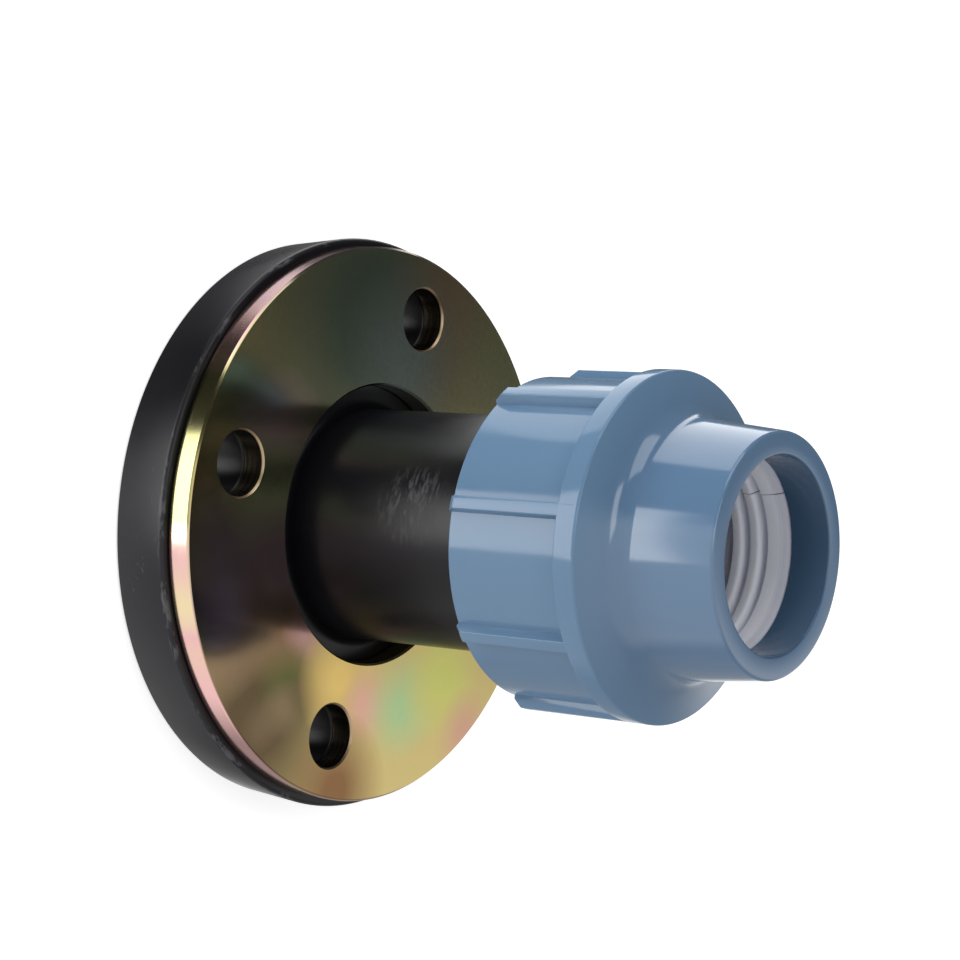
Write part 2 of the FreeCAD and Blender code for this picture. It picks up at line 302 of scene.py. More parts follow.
nut_shell = turned("nut_shell", rounded([
    (THREAD_RADIUS, NUT_REAR, 0.8),
    (NUT_RADIUS, NUT_REAR, 0.5),
    (NUT_RADIUS, COLLAR_REAR, 0.4),
    (COLLAR_RADIUS, COLLAR_REAR, 0.4),
    (COLLAR_RADIUS, COLLAR_FRONT, 1.0),
    (TUBE_ROOT_RADIUS, COLLAR_FRONT + SHOULDER_RISE, 7.0),
    (TUBE_MOUTH_RADIUS, NUT_MOUTH, 1.0),
    (MOUTH_RADIUS, NUT_MOUTH, 0.5),
    (MOUTH_RADIUS, NUT_MOUTH - MOUTH_LIP, 0.3),
    (CONE_FRONT_RADIUS, NUT_MOUTH - MOUTH_LIP, 0),
    (CONE_FRONT_RADIUS, RING_FRONT, 0),
    (CONE_REAR_RADIUS, RING_REAR, 0),
    (RIM_RADIUS, RING_REAR, 0),
    (RIM_RADIUS, THREAD_FRONT, 0),
    (THREAD_RADIUS, THREAD_FRONT, 0),
]))

# %% [markdown]
# ## Ribs
# Eight equal ribs run along the grip, so one rib is modelled and Geometry Nodes repeat it about the bore.
# The tree's count and first angle are inputs, which is how a drawing states such a pattern. Copying objects
# in a loop would give the same shape, but not a modifier that can be changed by hand.

# %% Helpers for node trees
def add_node(tree, kind, settings=None, **inputs):
    """Add a node, with its settings and the values or links of its named inputs."""
    made = tree.nodes.new(kind)
    for name, value in (settings or {}).items():
        setattr(made, name, value)
    for name, value in inputs.items():
        feed(tree, made, name.replace("_", " "), value)
    return made


def feed(tree, made, name, value):
    """Give a node's input a value, or link it from another node's output."""
    socket = made.inputs[name] if isinstance(name, int) else find_input(made, name)
    if isinstance(value, bpy.types.NodeSocket):
        tree.links.new(value, socket)
    else:
        socket.default_value = value


def find_input(made, name):
    """Find the enabled input whose name matches, in any case."""
    return next(s for s in made.inputs if s.enabled and s.name.lower() == name.lower())


def find_output(made, name=None):
    """Find the enabled output of that name, or the first enabled one."""
    return next(s for s in made.outputs if s.enabled and (name is None or s.name == name))


def math_node(tree, operation, *values, clamp=False):
    """Add a math node and return its output."""
    made = add_node(tree, "ShaderNodeMath", {"operation": operation, "use_clamp": clamp})
    for index, value in enumerate(values):
        feed(tree, made, index, value)
    return made.outputs[0]


def new_geometry_tree(name, inputs):
    """Start a Geometry Nodes tree that takes and gives geometry and has these named inputs."""
    tree = bpy.data.node_groups.new(name, "GeometryNodeTree")
    tree.is_modifier = True
    tree.interface.new_socket("Geometry", in_out="INPUT", socket_type="NodeSocketGeometry")
    tree.interface.new_socket("Geometry", in_out="OUTPUT", socket_type="NodeSocketGeometry")
    for label, kind in inputs:
        tree.interface.new_socket(label, in_out="INPUT", socket_type=kind)
    return tree, tree.nodes.new("NodeGroupInput"), tree.nodes.new("NodeGroupOutput")


def end_geometry_tree(tree, geometry, material, result):
    """Turn copies into real geometry, give it the material and put it out."""
    solid = add_node(tree, "GeometryNodeRealizeInstances", Geometry=geometry)
    painted = add_node(tree, "GeometryNodeSetMaterial", Geometry=solid.outputs[0], Material=material)
    tree.links.new(painted.outputs[0], result.inputs[0])


def run_tree(piece, tree, values):
    """Run a tree on a piece with its inputs set by their labels, and keep the result as a plain mesh."""
    modifier = piece.modifiers.new(tree.name, "NODES")
    modifier.node_group = tree
    for item in tree.interface.items_tree:
        if item.item_type == "SOCKET" and item.in_out == "INPUT" and item.name in values:
            modifier[item.identifier] = values[item.name]
    settle(piece)


# %% A tree that repeats a piece about the bore
ring_tree, given, result = new_geometry_tree("ring_of_copies", [
    ("Count", "NodeSocketInt"),
    ("First angle", "NodeSocketFloat"),
    ("Material", "NodeSocketMaterial"),
])
points = add_node(ring_tree, "GeometryNodePoints", Count=given.outputs["Count"])
place_in_row = add_node(ring_tree, "GeometryNodeInputIndex").outputs[0]
share = math_node(ring_tree, "DIVIDE", place_in_row, given.outputs["Count"])
turn = math_node(ring_tree, "MULTIPLY_ADD", share, 2 * math.pi, given.outputs["First angle"])
about_bore = add_node(ring_tree, "ShaderNodeCombineXYZ", Z=turn)
copies = add_node(ring_tree, "GeometryNodeInstanceOnPoints", Points=points.outputs[0])
feed(ring_tree, copies, "Instance", given.outputs["Geometry"])
feed(ring_tree, copies, "Rotation", about_bore.outputs[0])
end_geometry_tree(ring_tree, copies.outputs[0], given.outputs["Material"], result)

# %% Make one rib
RIB_COUNT = 8
RIB_WIDTH = 3.5
RIB_FOOT_WIDTH = 4.3
RIB_ANGLE = 3.5
RIB_BEVEL = 2.4
RIB_BEVEL_DROP = 2.2
RIB_SINK = 1.0
RIB_HIDE = 0.02
RIB_FRONT_GAP = 1.0
RIB_SOFTNESS = 0.3

foot_radius = NUT_RADIUS - RIB_SINK
top_radius = COLLAR_RADIUS - RIB_HIDE
rib_front = COLLAR_FRONT - RIB_FRONT_GAP
side_view = [
    (foot_radius, NUT_REAR),
    (top_radius - RIB_BEVEL_DROP, NUT_REAR),
    (top_radius, NUT_REAR + RIB_BEVEL),
    (top_radius, rib_front),
    (foot_radius, rib_front),
]


def half_width(radius):
    """Half the rib's width at a radius: it flares towards its foot."""
    share = (COLLAR_RADIUS - radius) / (COLLAR_RADIUS - NUT_RADIUS)
    return (RIB_WIDTH + (RIB_FOOT_WIDTH - RIB_WIDTH) * share) / 2


rib_vertices = [
    (radius * MM, side * half_width(radius) * MM, height * MM)
    for side in (-1, 1) for radius, height in side_view
]
corners = len(side_view)
rib_faces = [tuple(range(corners)), tuple(range(2 * corners - 1, corners - 1, -1))]
for corner in range(corners):
    beside = (corner + 1) % corners
    rib_faces.append((corner, corner + corners, beside + corners, beside))
ribs = new_piece("nut_ribs", rib_vertices, rib_faces)
soften = ribs.modifiers.new("soften", "BEVEL")
soften.width = RIB_SOFTNESS * MM
soften.segments = 3
settle(ribs)
shade(ribs)

# %% [markdown]
# ## Threads
# The nut runs on a coarse right-hand thread of 6 mm pitch. A thread is a section that follows a helix, so a
# spiral curve and Curve to Mesh make both ridges from one tree: the male one stands out from the body's
# head, and the female one stands in from the nut's wall, half a pitch further along.

# %% A tree that sweeps a ridge along a helix
STEPS_PER_TURN = 96

thread_tree, given, result = new_geometry_tree("helical_ridge", [
    ("Radius", "NodeSocketFloat"),
    ("Pitch", "NodeSocketFloat"),
    ("Turns", "NodeSocketFloat"),
    ("Start height", "NodeSocketFloat"),
    ("Depth", "NodeSocketFloat"),
    ("Outer width", "NodeSocketFloat"),
    ("Inner width", "NodeSocketFloat"),
    ("Material", "NodeSocketMaterial"),
])
rise = math_node(thread_tree, "MULTIPLY", given.outputs["Pitch"], given.outputs["Turns"])
path = add_node(thread_tree, "GeometryNodeCurveSpiral", Resolution=STEPS_PER_TURN)
feed(thread_tree, path, "Rotations", given.outputs["Turns"])
feed(thread_tree, path, "Start Radius", given.outputs["Radius"])
feed(thread_tree, path, "End Radius", given.outputs["Radius"])
feed(thread_tree, path, "Height", rise)
upright = add_node(thread_tree, "GeometryNodeSetCurveNormal", {"mode": "Z_UP"}, Curve=path.outputs[0])
section = add_node(thread_tree, "GeometryNodeCurvePrimitiveQuadrilateral", {"mode": "TRAPEZOID"})
feed(thread_tree, section, "Height", given.outputs["Depth"])
feed(thread_tree, section, "Bottom Width", given.outputs["Outer width"])
feed(thread_tree, section, "Top Width", given.outputs["Inner width"])
feed(thread_tree, section, "Offset", 0.0)
quarter = add_node(thread_tree, "GeometryNodeTransform", Geometry=section.outputs[0])
feed(thread_tree, quarter, "Rotation", (0, 0, math.pi / 2))
ridge = add_node(thread_tree, "GeometryNodeCurveToMesh", Curve=upright.outputs[0])
feed(thread_tree, ridge, "Profile Curve", quarter.outputs[0])
feed(thread_tree, ridge, "Fill Caps", True)
lift = add_node(thread_tree, "ShaderNodeCombineXYZ", Z=given.outputs["Start height"])
placed = add_node(thread_tree, "GeometryNodeTransform", Geometry=ridge.outputs[0])
feed(thread_tree, placed, "Translation", lift.outputs[0])
end_geometry_tree(thread_tree, placed.outputs[0], given.outputs["Material"], result)

# %% [markdown]
# ## Split ring
# The white ring is a cone outside and barbed inside, with one slot so that it can close on the pipe.
# Sweeping the outline a little short of a full turn leaves the slot, with its two flat ends, and needs no
# cut.

# %% Make the split ring
RING_REAR_RADIUS = 33.0
RING_FRONT_RADIUS = 28.3
RING_SLOT = 0.4
RING_SLOT_ANGLE = 141.9
TOOTH_COUNT = 3
TOOTH_PITCH = 5.5
TOOTH_DEPTH = 1.8
TOOTH_FLOOR = 1.6
TOOTH_LAND = 2.3
TOOTH_UNDERCUT = 0.4
RING_NOSE = 2.4
RING_NOSE_DEPTH = 1.0
RING_LEAD = 4.0
RING_LEAD_DEPTH = 0.6
RING_ARC_STEPS = 4
RING_SMOOTH_LIMIT = math.radians(12)

valley = SOCKET_RADIUS + TOOTH_DEPTH
ring_corners = [
    (valley, RING_REAR, 0),
    (RING_REAR_RADIUS, RING_REAR, 0.4),
    (RING_FRONT_RADIUS, RING_FRONT, 0.3),
    (SOCKET_RADIUS + RING_LEAD_DEPTH + RING_NOSE_DEPTH, RING_FRONT, 0.2),
    (SOCKET_RADIUS + RING_LEAD_DEPTH, RING_FRONT - RING_NOSE, 1.2),
]
for tooth in range(TOOTH_COUNT):
    crest = RING_FRONT - RING_NOSE - RING_LEAD - tooth * TOOTH_PITCH
    ring_corners += [(SOCKET_RADIUS, crest, 0.1), (valley, crest - TOOTH_UNDERCUT, 0.15)]
    if tooth < TOOTH_COUNT - 1:
        ring_corners += [
            (valley, crest - TOOTH_FLOOR, 1.2),
            (SOCKET_RADIUS, crest - TOOTH_PITCH + TOOTH_LAND, 1.5),
        ]
slot_turn = math.degrees(RING_SLOT / valley)
ring = turned("split_ring_skin", rounded(ring_corners, RING_ARC_STEPS),
              first=RING_SLOT_ANGLE + slot_turn / 2, sweep=360 - slot_turn)
shade(ring, RING_SMOOTH_LIMIT)
print("split ring:", len(ring.data.polygons), "faces")

# %% [markdown]
# ## Effects shared by several finishes
# Moulded plastic is never perfectly flat: a fine grain breaks up its gloss, and handling leaves hair-thin
# marks. More than one finish needs both, so each is a node group with its own inputs, built once.

# %% Helpers for shader trees
def new_group(name, inputs, outputs):
    """Start a shader node group with named inputs and outputs."""
    tree = bpy.data.node_groups.new(name, "ShaderNodeTree")
    for label, kind, value in inputs:
        tree.interface.new_socket(label, in_out="INPUT", socket_type=kind).default_value = value
    for label, kind in outputs:
        tree.interface.new_socket(label, in_out="OUTPUT", socket_type=kind)
    return tree, tree.nodes.new("NodeGroupInput"), tree.nodes.new("NodeGroupOutput")


def ramp(tree, factor, stops):
    """Add a colour ramp through these stops of place and colour, and return its colour."""
    made = add_node(tree, "ShaderNodeValToRGB", Fac=factor)
    elements = made.color_ramp.elements
    while len(elements) < len(stops):
        elements.new(0.5)
    for element, (place, colour) in zip(elements, stops):
        element.position = place
        element.color = (*colour, 1)
    return made.outputs["Color"]


def mix(tree, factor, first, second, kind="RGBA", blend="MIX"):
    """Mix two colours or values and return the result."""
    made = add_node(tree, "ShaderNodeMix", {"data_type": kind, "blend_type": blend})
    feed(tree, made, "Factor", factor)
    feed(tree, made, "A", first)
    feed(tree, made, "B", second)
    return find_output(made)


def spread(tree, value, low, high, to_low=0.0, to_high=1.0):
    """Map a range of values to another, clamped."""
    made = add_node(tree, "ShaderNodeMapRange")
    for index, number in enumerate((value, low, high, to_low, to_high)):
        feed(tree, made, index, number)
    return made.outputs[0]


def noise(tree, place, scale, detail=3.0, roughness=0.5, output="Fac"):
    """Add a noise texture and return one output."""
    made = add_node(tree, "ShaderNodeTexNoise", Vector=place, Scale=scale, Detail=detail, Roughness=roughness)
    return made.outputs[output]


def object_place(tree, scale=(1, 1, 1), rotation=(0, 0, 0)):
    """Object coordinates, turned and stretched."""
    coordinates = add_node(tree, "ShaderNodeTexCoord").outputs["Object"]
    mapping = add_node(tree, "ShaderNodeMapping", Vector=coordinates, Scale=scale, Rotation=rotation)
    return mapping.outputs[0]


# %% Moulding grain
grain_tree, given, result = new_group("moulding_grain", [
    ("Grain scale", "NodeSocketFloat", 900.0),
    ("Waviness scale", "NodeSocketFloat", 60.0),
], [("Height", "NodeSocketFloat"), ("Patches", "NodeSocketFloat")])
place = object_place(grain_tree)
fine = noise(grain_tree, place, given.outputs["Grain scale"], 2.0)
wavy = noise(grain_tree, place, given.outputs["Waviness scale"], 2.0)
fine_part = math_node(grain_tree, "MULTIPLY", fine, 0.4)
grain_height = math_node(grain_tree, "MULTIPLY_ADD", wavy, 0.6, fine_part)
grain_tree.links.new(grain_height, result.inputs["Height"])
grain_tree.links.new(wavy, result.inputs["Patches"])

# %% Handling marks
marks_tree, given, result = new_group("handling_marks", [
    ("Density", "NodeSocketFloat", 0.5),
], [("Mask", "NodeSocketFloat")])
layers = []
for angles, stretch in (((0.4, 0.9, 0.2), (40, 900, 900)), ((1.3, 0.1, 2.2), (60, 1100, 1100))):
    place = object_place(marks_tree, scale=stretch, rotation=angles)
    streaks = noise(marks_tree, place, 1.0, 1.0, 0.4)
    layers.append(spread(marks_tree, streaks, 0.70, 0.76))
both = math_node(marks_tree, "ADD", *layers, clamp=True)
where = noise(marks_tree, object_place(marks_tree), 35.0, 2.0)
eased = math_node(marks_tree, "MULTIPLY", given.outputs["Density"], 0.4)
threshold = math_node(marks_tree, "SUBTRACT", 0.8, eased)
patchy = math_node(marks_tree, "GREATER_THAN", where, threshold)
marks_tree.links.new(math_node(marks_tree, "MULTIPLY", both, patchy), result.inputs["Mask"])


# %% Start a finish
def new_finish(name, **sockets):
    """Make a material and return it with its tree and its Principled shader, whose plain sockets are set."""
    material = bpy.data.materials.new(name)
    material.use_nodes = True
    tree = material.node_tree
    shader = tree.nodes["Principled BSDF"]
    for socket, value in sockets.items():
        shader.inputs[socket.replace("_", " ")].default_value = value
    return material, tree, shader


def use_group(tree, group, **values):
    """Place a shared effect in a finish."""
    made = tree.nodes.new("ShaderNodeGroup")
    made.node_tree = group
    for label, value in values.items():
        feed(tree, made, label.replace("_", " "), value)
    return made


def bump(tree, shader, height, strength, distance):
    """Raise the surface by a height pattern."""
    made = add_node(tree, "ShaderNodeBump", Strength=strength, Distance=distance, Height=height)
    tree.links.new(made.outputs[0], shader.inputs["Normal"])


def from_bore(tree, place):
    """Give each point's distance from the bore's line."""
    flat = add_node(tree, "ShaderNodeVectorMath", {"operation": "MULTIPLY"})
    feed(tree, flat, 0, place)
    feed(tree, flat, 1, (1, 1, 0))
    length = add_node(tree, "ShaderNodeVectorMath", {"operation": "LENGTH"})
    feed(tree, length, 0, find_output(flat))
    return find_output(length, "Value")


def past(tree, distance, low, high):
    """Give 0 up to one distance and 1 past another, both in millimetres."""
    return spread(tree, distance, low * MM, high * MM)


def short_of(tree, distance, low, high):
    """Give 1 up to one distance and 0 past another, both in millimetres."""
    return spread(tree, distance, low * MM, high * MM, 1.0, 0.0)


# %% [markdown]
# ## Black plastic
# The black moulding is semi-gloss polypropylene: nearly black under a soft sheen, with light grey scuffs
# where the neck was handled and along the flange's front edge. Scuffs are rougher and paler than the skin
# round them.

# %% Finish of the black moulding
SCUFF_CENTRE = (0.001, -0.0335, 0.063)
SCUFF_REACH = 0.013
SCUFF_CORE = 0.3 * SCUFF_REACH
EDGE_WEAR_ACROSS = (1.6, 0.7)
EDGE_WEAR_DOWN = (1.7, 0.9)
BLACK_SKIN = (0.0055, 0.0055, 0.0075, 1)
SCUFFED_SKIN = (0.06, 0.06, 0.066, 1)
WORN_EDGE = (0.08, 0.08, 0.086, 1)

black, tree, shader = new_finish("black_polypropylene", Specular_IOR_Level=0.27)
grain = use_group(tree, grain_tree)
marks = use_group(tree, marks_tree, Density=0.3)
coordinates = add_node(tree, "ShaderNodeTexCoord").outputs["Object"]
away = add_node(tree, "ShaderNodeVectorMath", {"operation": "DISTANCE"})
feed(tree, away, 0, coordinates)
feed(tree, away, 1, SCUFF_CENTRE)
near_scuff = spread(tree, find_output(away, "Value"), SCUFF_CORE, SCUFF_REACH, 1.0, 0.0)
hairs = noise(tree, object_place(tree, scale=(230, 230, 900), rotation=(0.0, 0.3, 0.0)), 1.0, 3.0, 0.6)
scuffs = math_node(tree, "MULTIPLY", spread(tree, hairs, 0.50, 0.66), near_scuff)
worn = math_node(tree, "MAXIMUM", scuffs, math_node(tree, "MULTIPLY", marks.outputs["Mask"], 0.35))
outward, full_outward = (FLANGE_RADIUS - gap for gap in EDGE_WEAR_ACROSS)
forward, full_forward = (FLANGE_FRONT - gap for gap in EDGE_WEAR_DOWN)
height = add_node(tree, "ShaderNodeSeparateXYZ", Vector=coordinates).outputs["Z"]
on_edge = math_node(tree, "MULTIPLY", past(tree, from_bore(tree, coordinates), outward, full_outward),
                    past(tree, height, forward, full_forward))
nicks = noise(tree, object_place(tree, scale=(90, 90, 420)), 1.0, 4.0, 0.7)
edge_wear = math_node(tree, "MULTIPLY", on_edge, spread(tree, nicks, 0.54, 0.64, 0.06, 1.0))
worn = math_node(tree, "MAXIMUM", worn, edge_wear)
colour = mix(tree, worn, BLACK_SKIN, SCUFFED_SKIN)
colour = mix(tree, edge_wear, colour, WORN_EDGE)
tree.links.new(colour, shader.inputs["Base Color"])
gloss = spread(tree, grain.outputs["Patches"], 0.3, 0.7, 0.27, 0.36)
tree.links.new(math_node(tree, "MULTIPLY_ADD", worn, 0.25, gloss), shader.inputs["Roughness"])
bump(tree, shader, grain.outputs["Height"], 0.25, 0.00012)

# %% [markdown]
# ## Blue plastic
# The nut is a grey-blue moulding with more gloss than the body. It is smooth enough to mirror a lamp with a
# crisp edge, so its grain is very weak and its roughness low. The bore is duller, as an unpolished core pin
# leaves it, and its colour is darker as painted shade in the recess. The tube shines more than the grip, and
# a clear coat over the tube alone gives that.

# %% Finish of the nut
GRIP_TINTS = ((0.119, 0.212, 0.332, 1), (0.127, 0.223, 0.348, 1))
TUBE_TINT = (0.104, 0.188, 0.308, 1)
RUBBED_TINT = (0.35, 0.47, 0.6, 1)
# Painted shade: the bore's colour is darker than the rest of the nut.
BORE_PAINTED_SHADE = (0.058, 0.112, 0.192, 1)
BORE_EDGE = (MOUTH_RADIUS + 0.2, MOUTH_RADIUS + 0.5)
TUBE_COAT = 0.72

blue, tree, shader = new_finish("blue_polypropylene", Specular_IOR_Level=0.42, Coat_Roughness=0.12)
grain = use_group(tree, grain_tree)
marks = use_group(tree, marks_tree, Density=0.2)
nut_place = object_place(tree)
height = add_node(tree, "ShaderNodeSeparateXYZ", Vector=nut_place).outputs["Z"]
on_tube = past(tree, height, COLLAR_FRONT, COLLAR_FRONT + SHOULDER_RISE)
tint = mix(tree, grain.outputs["Patches"], *GRIP_TINTS)
tint = mix(tree, on_tube, tint, TUBE_TINT)
rubbed = mix(tree, math_node(tree, "MULTIPLY", marks.outputs["Mask"], 0.25), tint, RUBBED_TINT)
# Painted shade inside the bore's recess.
in_bore = short_of(tree, from_bore(tree, nut_place), *BORE_EDGE)
tree.links.new(mix(tree, in_bore, rubbed, BORE_PAINTED_SHADE), shader.inputs["Base Color"])
polished = math_node(tree, "SUBTRACT", on_tube, in_bore, clamp=True)
tree.links.new(math_node(tree, "MULTIPLY", polished, TUBE_COAT), shader.inputs["Coat Weight"])
tree.links.new(spread(tree, grain.outputs["Patches"], 0.3, 0.7, 0.10, 0.15), shader.inputs["Roughness"])
bump(tree, shader, grain.outputs["Height"], 0.12, 0.0001)

# %% [markdown]
# ## Yellow-passivated steel
# The plate is zinc-plated and passivated. The film is as thin as a soap film, so its colour wanders from
# gold through green and pink to a dark olive. One ramp over noise gives clouds anywhere, so here soft
# patches are laid over a gold base, each with a place, a reach and a tint, and slow noise bends their
# edges. The patches are the film's colours, and the dark ones are also painted reflection of a dark
# surround. The rim has a film of its own, with painted shade on its far side and a darker yellow band as
# painted reflection where the side lamp mirrors in it. The drilled holes show a worn edge and fine turning
# marks.

# %% Tints of the plate's film, painted reflection and painted shade
FILM_GOLD = (0.60, 0.48, 0.20, 1)
FILM_BEND = 0.016
PATCH_CORE = 0.2
# Tints of the film; the dark ones also paint reflection of a dark surround.
FILM_AND_REFLECTION_PATCHES = (
    ((-0.055, -0.020), 0.080, (0.19, 0.26, 0.19)),
    ((-0.070, 0.015), 0.035, (0.44, 0.32, 0.20)),
    ((-0.062, 0.040), 0.035, (0.44, 0.44, 0.25)),
    ((-0.052, -0.006), 0.028, (0.32, 0.39, 0.35)),
    ((0.028, -0.060), 0.024, (0.60, 0.48, 0.47)),
    ((-0.013, -0.050), 0.019, (0.66, 0.48, 0.42)),
    ((0.006, -0.048), 0.020, (0.90, 1.00, 0.50)),
    ((0.026, -0.040), 0.024, (0.72, 0.48, 0.52)),
    ((0.068, -0.033), 0.052, (0.12, 0.085, 0.045)),
    ((0.046, -0.053), 0.020, (0.30, 0.19, 0.13)),
    ((0.039, -0.058), 0.014, (0.62, 0.46, 0.56)),
    ((0.041, -0.030), 0.015, (0.26, 0.16, 0.09)),
    ((0.037, -0.024), 0.010, (0.46, 0.27, 0.24)),
    ((0.055, -0.024), 0.013, (0.11, 0.12, 0.04)),
    ((0.068, -0.030), 0.009, (0.17, 0.12, 0.07)),
    ((0.061, -0.024), 0.009, (0.22, 0.16, 0.09)),
    ((0.055, -0.018), 0.008, (0.16, 0.12, 0.06)),
    ((0.046, -0.004), 0.019, (0.74, 0.52, 0.17)),
    ((0.050, 0.013), 0.014, (0.70, 0.40, 0.30)),
    ((0.047, 0.029), 0.017, (0.40, 0.56, 0.28)),
    ((0.037, 0.045), 0.018, (0.58, 0.58, 0.17)),
    ((0.050, 0.060), 0.014, (0.62, 0.36, 0.25)),
    ((0.078, 0.008), 0.024, (0.24, 0.13, 0.06)),
)
RIM_FILM = [
    (0.35, (0.85, 0.62, 0.42)),
    (0.5, (0.86, 0.50, 0.50)),
    (0.62, (0.88, 0.76, 0.42)),
]
# Painted shade darkens the rim's far side. Painted reflection: a darker yellow band where the side lamp
# mirrors in the rim shows that reflection pale yellow.
FAR_RIM = (-45.0, -22.0)
FAR_RIM_PAINTED_SHADE = (0.36, 0.23, 0.24, 1)
REFLECTION_BAND_START = (-26.0, -20.0)
REFLECTION_BAND_END = (20.5, 23.5)
GOLD_RIM_PAINTED_REFLECTION = (0.37, 0.355, 0.17, 1)
HOLE_WALL_TINTS = ((0.05, 0.045, 0.03, 1), (0.20, 0.16, 0.11, 1))
HOLE_EDGE_TINT = (0.44, 0.32, 0.20, 1)
SPECK_TINT = (0.85, 0.72, 0.5, 1)

# %% Film, painted reflection and painted shade on the plate's face and rim
zinc, tree, shader = new_finish("passivated_zinc", Metallic=1.0)
plate_place = object_place(tree)
warp = noise(tree, plate_place, 16.0, 3.0, 0.5, output="Color")
lean = add_node(tree, "ShaderNodeVectorMath", {"operation": "MULTIPLY_ADD"})
feed(tree, lean, 0, warp)
feed(tree, lean, 1, (FILM_BEND, FILM_BEND, 0.0))
feed(tree, lean, 2, plate_place)
film_and_painted_light = FILM_GOLD
# The noise has a mean of one half, so each centre moves along by half the bend.
# Each patch lays film colour over the gold, and the dark ones lay painted reflection.
for (across, up), reach, tint in FILM_AND_REFLECTION_PATCHES:
    gap = add_node(tree, "ShaderNodeVectorMath", {"operation": "DISTANCE"})
    feed(tree, gap, 0, find_output(lean))
    feed(tree, gap, 1, (across + FILM_BEND / 2, up + FILM_BEND / 2, PLATE_FRONT * MM))
    patch = spread(tree, find_output(gap, "Value"), reach * PATCH_CORE, reach, 1.0, 0.0)
    film_and_painted_light = mix(tree, patch, film_and_painted_light, (*tint, 1))
on_rim = past(tree, from_bore(tree, plate_place), PLATE_RADIUS - 0.5, PLATE_RADIUS - 0.2)
wave = noise(tree, object_place(tree, scale=(30, 30, 4)), 1.0, 1.0)
along_rim = add_node(tree, "ShaderNodeSeparateXYZ", Vector=plate_place).outputs["X"]
# Painted shade on the far rim, and painted reflection colour in the band under the side lamp.
rim_film_and_painted_light = mix(tree, short_of(tree, along_rim, *FAR_RIM), ramp(tree, wave, RIM_FILM), FAR_RIM_PAINTED_SHADE)
reflection_band = math_node(tree, "MULTIPLY", past(tree, along_rim, *REFLECTION_BAND_START),
                     short_of(tree, along_rim, *REFLECTION_BAND_END))
rim_film_and_painted_light = mix(tree, reflection_band, rim_film_and_painted_light, GOLD_RIM_PAINTED_REFLECTION)
film_and_painted_light = mix(tree, on_rim, film_and_painted_light, rim_film_and_painted_light)

# %% Drilled holes and specks
# Folding the plate over both axes and over their diagonal lays its four holes on one.
folded = add_node(tree, "ShaderNodeVectorMath", {"operation": "ABSOLUTE"})
feed(tree, folded, 0, plate_place)
folded = add_node(tree, "ShaderNodeSeparateXYZ", Vector=find_output(folded))
nearest = add_node(tree, "ShaderNodeCombineXYZ",
                   X=math_node(tree, "MAXIMUM", folded.outputs["X"], folded.outputs["Y"]),
                   Y=math_node(tree, "MINIMUM", folded.outputs["X"], folded.outputs["Y"]))
from_hole = add_node(tree, "ShaderNodeVectorMath", {"operation": "DISTANCE"})
feed(tree, from_hole, 0, find_output(nearest))
feed(tree, from_hole, 1, (BOLT_CIRCLE_RADIUS * MM, 0, 0))
hole_radius = find_output(from_hole, "Value")
drilled = short_of(tree, hole_radius, HOLE_RADIUS + 0.5, HOLE_RADIUS + 0.65)
on_edge = past(tree, hole_radius, HOLE_RADIUS + 0.05, HOLE_RADIUS + 0.2)
turning = noise(tree, object_place(tree, scale=(40, 40, 1500)), 1.0, 2.0)
wall_film = mix(tree, spread(tree, turning, 0.42, 0.62), *HOLE_WALL_TINTS)
film_and_painted_light = mix(tree, drilled, film_and_painted_light, mix(tree, on_edge, wall_film, HOLE_EDGE_TINT))
specks = noise(tree, object_place(tree), 700.0, 2.0, 0.5)
film_and_painted_light = mix(tree, spread(tree, specks, 0.3, 0.7, 0.0, 0.07), film_and_painted_light, SPECK_TINT, blend="OVERLAY")
tree.links.new(film_and_painted_light, shader.inputs["Base Color"])
rolled = spread(tree, specks, 0.3, 0.7, 0.138, 0.154)
tree.links.new(mix(tree, drilled, rolled, spread(tree, on_edge, 0.0, 1.0, 0.25, 0.4), kind="FLOAT"),
               shader.inputs["Roughness"])
bump(tree, shader, noise(tree, plate_place, 45.0, 2.0), 0.08, 0.0004)

# %% [markdown]
# ## White ring, bush and seal
# The ring is unpigmented acetal: off-white, slightly waxy, and a little translucent at thin edges. Its
# grooves and the nose at its front end are greyer than the lands, as painted shade. The bush and seal
# behind it barely show; the bush takes the black finish and the seal a rubber finish of its own.

# %% Finish of the split ring
BONE_TINTS = ((0.89, 0.90, 0.98, 1), (0.92, 0.93, 1.0, 1))
# Painted shade: greyer colours for the ring's nose and grooves.
NOSE_PAINTED_SHADE = (0.58, 0.59, 0.66, 1)
GROOVE_PAINTED_SHADE = (0.70, 0.71, 0.80, 1)
GROOVE_START = (SOCKET_RADIUS + 0.5, SOCKET_RADIUS + 1.9)
GROOVE_END = (SOCKET_RADIUS + 2.2, SOCKET_RADIUS + 2.5)
NOSE_START = (RING_FRONT - RING_NOSE - 0.6, RING_FRONT - RING_NOSE + 0.6)

white, tree, shader = new_finish("white_acetal", Subsurface_Weight=0.15, Subsurface_Scale=0.002)
grain = use_group(tree, grain_tree)
ring_place = object_place(tree)
ring_radius = from_bore(tree, ring_place)
